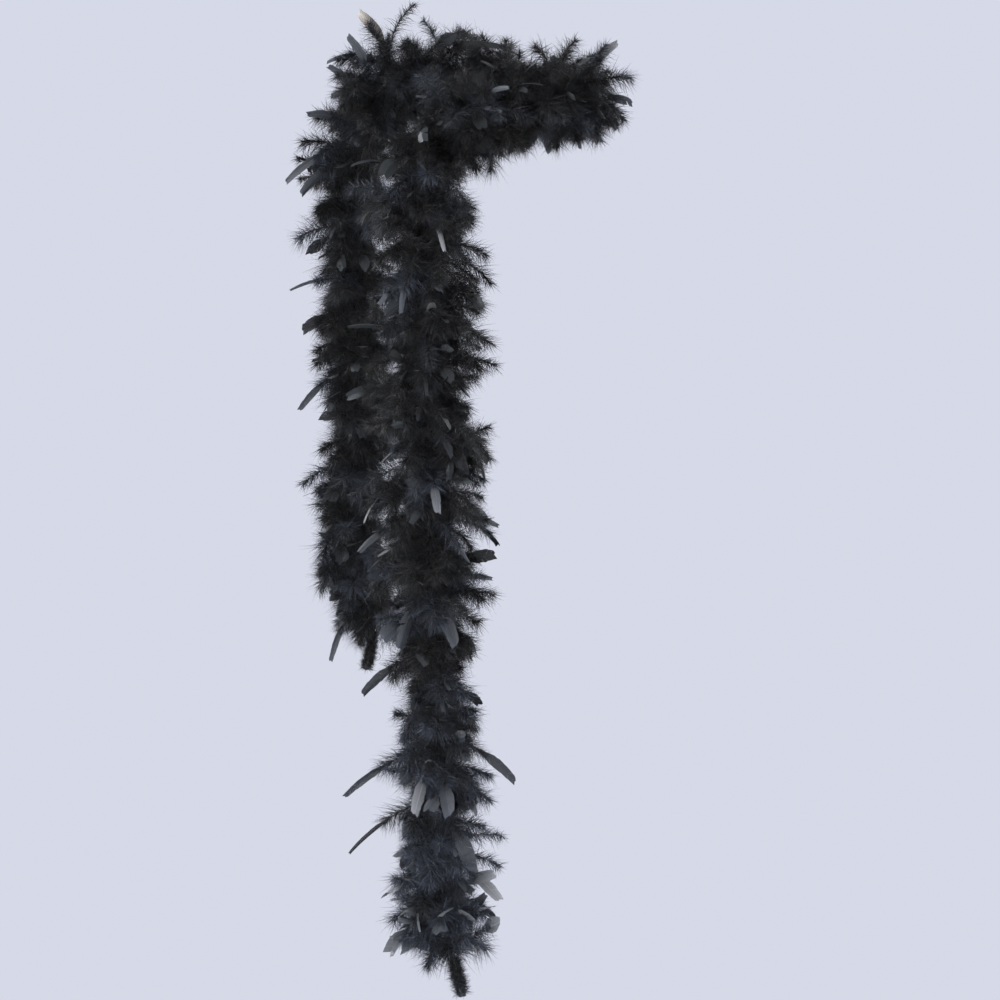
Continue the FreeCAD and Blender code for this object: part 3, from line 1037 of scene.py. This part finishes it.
def coil(start, end, offset, pitch, radius, phase):
    """A strand wound round the cord."""
    count = max(8, int(abs((end - start) / pitch) * COIL_POINTS_PER_TURN))
    at = np.linspace(start, end, count)
    point, _, side, other = cord_frame(at)
    a = phase + 2 * math.pi * at / pitch
    line = point + offset * (side * np.cos(a)[:, None] + other * np.sin(a)[:, None])
    return tube(line, radius, COIL_SIDES)


def finish_piece(obj, mat, zone, nodes=(), span=BEND_SPAN):
    """Gives a piece its material, puts it on its zone's body or keeps it in place, and hides the CAD
    nodes that it replaces.
    """
    obj.data.materials.append(mat)
    zone.attach(obj, span)
    if nodes:
        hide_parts(*nodes)


def strand_piece(name, built, mat, zone, nodes=(), span=BEND_SPAN):
    """A piece made of tubes of cord or thread."""
    verts, quads, strand = built
    finish_piece(mesh_object(name, verts, quads, None, strand), mat, zone, nodes, span)


def feather_piece(kind, zone, built, mat, nodes=()):
    """A piece made of feathers, laid clear of the neck and inside the looks' box."""
    verts, quads, info, strand, bake = built
    made = mesh_object(f"{kind}_{zone.name}", laid_in_place(verts), quads, info, strand, bake)
    finish_piece(made, mat, zone, nodes)


def cord_pieces(zone):
    """Both plies and the thread of a zone."""
    span = BARE_BEND_SPAN if zone.is_end else BEND_SPAN
    start = max(zone.start, KNOT_END) if zone is REAR_ZONE else zone.start
    for letter, phase in (("a", 0), ("b", math.pi)):
        built = coil(start, zone.end, PLY_OFFSET, LAY_LENGTH, PLY_RADIUS, phase)
        nodes = zone.nodes(f"ply_{letter}")
        strand_piece(f"ply_{letter}_{zone.name}", built, CORD, zone, nodes, span)
    low, high = max(zone.start, BARE_REAR + THREAD_GAP), min(zone.end, BARE_FRONT - THREAD_GAP)
    built = coil(low, high, THREAD_OFFSET, -THREAD_PITCH, THREAD_RADIUS, 0)
    nodes = () if zone.is_end else zone.nodes("thread")
    strand_piece(f"thread_{zone.name}", built, THREAD, zone, nodes, span)


def shade_core(low, high):
    """A tube round the cord, near black: painted shade that stands for the shadow deep inside the down.
    """
    at = np.arange(low, high, HEART_STEP)
    wobble = 1 + 0.10 * np.sin(at / 9) + 0.07 * np.sin(at / 4.1 + 1)
    from_ends = np.minimum(at - BARE_REAR, BARE_FRONT - at) - DOWN_GAP
    radii = HEART_RADIUS * wobble * np.clip(from_ends / HEART_FADE, 0.25, 1)
    verts, quads, strand = tube(cord_frame(at)[0], radii, HEART_SIDES)
    # painted shade: a low tone at a barb's root, which the down material paints near black
    return verts, quads, np.tile([0.2, 0.0, 0.5, 1], (len(verts), 1)), strand


def feather_zone(zone, rng):
    """The down, plumes, vanes and quills of one zone."""
    low, high = max(zone.start, BARE_REAR + DOWN_GAP), min(zone.end, BARE_FRONT - DOWN_GAP)
    rides = zone
    if zone.is_end:
        rides = rigid(zone, next(b for b in zone.bodies if b != zone.body))
    down_nodes = () if zone.is_end else zone.nodes("down")
    feather_nodes = () if zone.is_end else zone.nodes("feathers")
    core = mesh_object(f"down_heart_{zone.name}", *shade_core(low, high))
    finish_piece(core, DOWN, rides, down_nodes)
    feathers = grow(feather_stations(low, high), rng).plus(placed_feathers(low, high))
    feather_piece("plumes", rides, plume_ribbons(feathers, rng), DOWN)
    fuzz = fuzz_ribbons(low, high, FUZZ_PER_MM, FUZZ_START, FUZZ_LENGTH, rng)
    feather_piece("fuzz", rides, fuzz, DOWN)
    feather_piece("vanes", rides, vane_mesh(feathers, rng), VANE, feather_nodes)
    feather_piece("quills", rides, quill_mesh(feathers), VANE)


for number, zone in enumerate(ZONES):
    cord_pieces(zone)
    feather_zone(zone, np.random.default_rng(SEED + number))


# ---------------------------------------------------------------- single pieces
def ring(middle, axis, radius, strand_radius):
    """A tube bent into a closed ring about an axis."""
    axis = unit(np.asarray(axis))
    side = unit(np.cross(axis, [0.2, 1, 0.1]))
    other = np.cross(axis, side)
    a = np.linspace(0, 2 * math.pi, RING_POINTS)
    line = middle + radius * (side * np.cos(a)[:, None] + other * np.sin(a)[:, None])
    return tube(line, strand_radius, RING_SIDES)


def knot():
    """The rear end's knot: two rings of cord that cross each other."""
    point, direction, side, _ = (v[0] for v in cord_frame(KNOT_AT))
    over = np.cross(side, direction)
    tilts = np.radians(KNOT_TILTS)
    axes = [direction * math.cos(tilt) + over * math.sin(tilt) for tilt in tilts]
    return joined([ring(point, axis, KNOT_RING, KNOT_STRAND) for axis in axes])


def thread_loop():
    """A loose loop that stands out of the rear whipping."""
    point, _, side, other = (v[0] for v in cord_frame(LOOP_AT))
    return ring(point + side * (THREAD_OFFSET + LOOP_RADIUS), other, LOOP_RADIUS, THREAD_RADIUS)


REAR_END = rigid(REAR_ZONE, "rear_end")
FRONT_END = rigid(FRONT_ZONE, "front_end")
rear_band = coil(*REAR_WHIPPING, *REAR_WHIPPING_WIND, WHIPPING_STRAND, 0)
front_band_from = CORD_LENGTH - FRONT_WHIPPING_LENGTH
front_band = coil(front_band_from, CORD_LENGTH, *FRONT_WHIPPING_WIND, WHIPPING_STRAND, 0)
strand_piece("knot", knot(), CORD, REAR_END, ["rear_end_knot"])
strand_piece("rear_whipping", rear_band, THREAD, REAR_END, ["rear_end_whipping"])
strand_piece("thread_loop", thread_loop(), PALE_THREAD, REAR_END, ["rear_end_loop"])
strand_piece("front_whipping", front_band, THREAD, FRONT_END, ["front_end_whipping"])

# The tan feather stands up from the shoulder
rng = np.random.default_rng(SINGLES_SEED)
tan_feather = Feathers(
    root=cord_frame([station_of(TAN_ROOT)])[0],
    out=unit(np.array([TAN_OUT])),
    fall=np.array([TAN_FALL]),
    turn=np.array([TAN_TURN]),
    length=np.array([TAN_LENGTH]),
    twist=np.array([TAN_TWIST]),
    tone=np.array([TAN_TONE]),
    down_end=np.array([TAN_DOWN_END]),
    half_width=np.array([TAN_HALF_WIDTH]),
    vane_start=np.array([TAN_VANE_START]),
    slant=np.array([TAN_SLANT]),
)
TAN_ZONE = Zone("tan_feather", 0, 0, ("collar",))
tan_vane = vane_mesh(tan_feather, rng)
feather_piece("vane_of", TAN_ZONE, tan_vane, TAN, ["collar_tan_feather"])
feather_piece("quill_of", TAN_ZONE, quill_mesh(tan_feather), TAN)
feather_piece("down_of", TAN_ZONE, plume_ribbons(tan_feather, rng), DOWN)

# Both bare ends of the cord are frayed
for zone, low, high, length in (
    (REAR_END, FRAY_FROM_REAR_TIP, BARE_REAR, FRAY_REAR),
    (FRONT_END, BARE_FRONT, CORD_LENGTH - FRAY_FROM_FRONT_TIP, FRAY_FRONT),
):
    frayed = fuzz_ribbons(low, high, FUZZ_END_PER_MM, FRAY_RADIUS, length, rng)
    feather_piece("frayed", zone, frayed, DOWN)


# ---------------------------------------------------------------- stage, light and camera
def seen_or_ambient(nodes, links):
    """Strength 1 for what the camera sees, and AMBIENT for the light it throws on the boa."""
    path = nodes.new("ShaderNodeLightPath")
    strength = nodes.new("ShaderNodeMapRange")
    strength.inputs["To Min"].default_value = AMBIENT
    strength.inputs["To Max"].default_value = 1
    links.new(path.outputs["Is Camera Ray"], strength.inputs["Value"])
    return strength.outputs[0]


def studio():
    """A plain pale floor and backdrop, and soft lights."""
    floor_mesh = bpy.data.meshes.new("floor")
    square = ((-1, -1), (1, -1), (1, 1), (-1, 1))
    corners = [(x * FLOOR_HALF, y * FLOOR_HALF, FLOOR_HEIGHT) for x, y in square]
    floor_mesh.from_pydata(corners, [], [(0, 1, 2, 3)])
    floor = bpy.data.objects.new("floor", floor_mesh)
    bpy.context.scene.collection.objects.link(floor)
    mat, nodes, links, shader = material("floor")
    shader.inputs["Base Color"].default_value = (0, 0, 0, 1)
    shader.inputs["Specular IOR Level"].default_value = 0
    shader.inputs["Emission Color"].default_value = (*BACKGROUND, 1)
    links.new(seen_or_ambient(nodes, links), shader.inputs["Emission Strength"])
    floor.data.materials.append(mat)
    world = bpy.data.worlds.new("studio")
    world.use_nodes = True
    backdrop = world.node_tree.nodes["Background"]
    backdrop.inputs[0].default_value = (*BACKGROUND, 1)
    strength = seen_or_ambient(world.node_tree.nodes, world.node_tree.links)
    world.node_tree.links.new(strength, backdrop.inputs[1])
    bpy.context.scene.world = world
    for name, place, size, power in LIGHTS:
        light = bpy.data.lights.new(name, "AREA")
        light.size, light.energy, light.color = size, power, LIGHT_COLOUR
        lamp = bpy.data.objects.new(name, light)
        lamp.location = place
        lamp.rotation_euler = (LOOK_AT - Vector(place)).to_track_quat("-Z", "Y").to_euler()
        lamp.visible_camera = False
        bpy.context.scene.collection.objects.link(lamp)


def camera():
    """A level camera in front of the boa."""
    cam = bpy.data.cameras.new("camera")
    cam.lens = CAMERA_LENS
    cam.sensor_width = 36
    eye = bpy.data.objects.new("camera", cam)
    eye.location = CAMERA_AT
    eye.rotation_euler = (math.pi / 2, 0, 0)
    bpy.context.scene.collection.objects.link(eye)
    bpy.context.scene.camera = eye


studio()
camera()
bpy.context.scene.view_settings.view_transform = "Standard"
